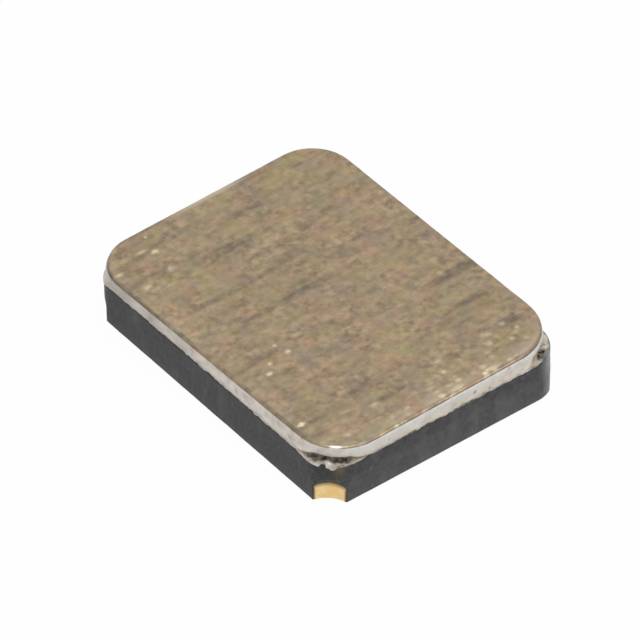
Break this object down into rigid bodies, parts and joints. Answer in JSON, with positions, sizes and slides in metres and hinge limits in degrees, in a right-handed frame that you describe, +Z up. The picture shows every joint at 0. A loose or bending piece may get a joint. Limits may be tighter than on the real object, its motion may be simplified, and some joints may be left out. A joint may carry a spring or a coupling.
{
  "type": "crystal oscillator",
  "caption": "Flat ceramic surface-mount crystal oscillator: notched black base, brazed metal lid, gold corner terminals, with a quartz plate and driver die sealed inside.",
  "frame": {"origin": "centre of the ceramic footprint on the seating plane, under the solder terminals", "axes": "+X along the long side, +Y along the short side, +Z up through the lid"},
  "size_m": [0.0026, 0.002, 0.0005],
  "materials": {
    "black_ceramic": "matte fired",
    "plated_rim": "satin plated",
    "silver_braze": "rough solidified",
    "nickel_lid": "rolled grain",
    "gold_terminal": "satin plated",
    "gold_track": "satin plated",
    "gold_bump": "soft satin",
    "tungsten_fill": "matte sintered",
    "film_electrode": "mirror film",
    "silver_adhesive": "grainy",
    "quartz": "lapped",
    "silicon": "ground back"
  },
  "bodies": {
    "root": {"adhesive_crystal_in": "silver_adhesive", "adhesive_crystal_out": "silver_adhesive", "bump_crystal_in": "gold_bump", "bump_crystal_out": "gold_bump", "bump_enable": "gold_bump", "bump_ground": "gold_bump", "bump_output": "gold_bump", "bump_supply": "gold_bump", "ceramic_base": "black_ceramic", "crystal_blank": "quartz", "electrode_bottom": "film_electrode", "electrode_top": "film_electrode", "lid": "nickel_lid", "oscillator_die": "silicon", "pad_crystal_in": "gold_track", "pad_crystal_out": "gold_track", "rim_metallisation": "plated_rim", "seal_braze": "silver_braze", "terminal_enable": "gold_terminal", "terminal_ground": "gold_terminal", "terminal_output": "gold_terminal", "terminal_supply": "gold_terminal", "track_crystal_in": "gold_track", "track_crystal_out": "gold_track", "track_enable": "gold_track", "track_ground": "gold_track", "track_output": "gold_track", "track_supply": "gold_track", "via_crystal_in": "tungsten_fill", "via_crystal_out": "tungsten_fill", "via_enable": "tungsten_fill", "via_ground": "tungsten_fill", "via_lid_ground": "tungsten_fill", "via_output": "tungsten_fill", "via_supply": "tungsten_fill"}
  },
  "joints": []
}
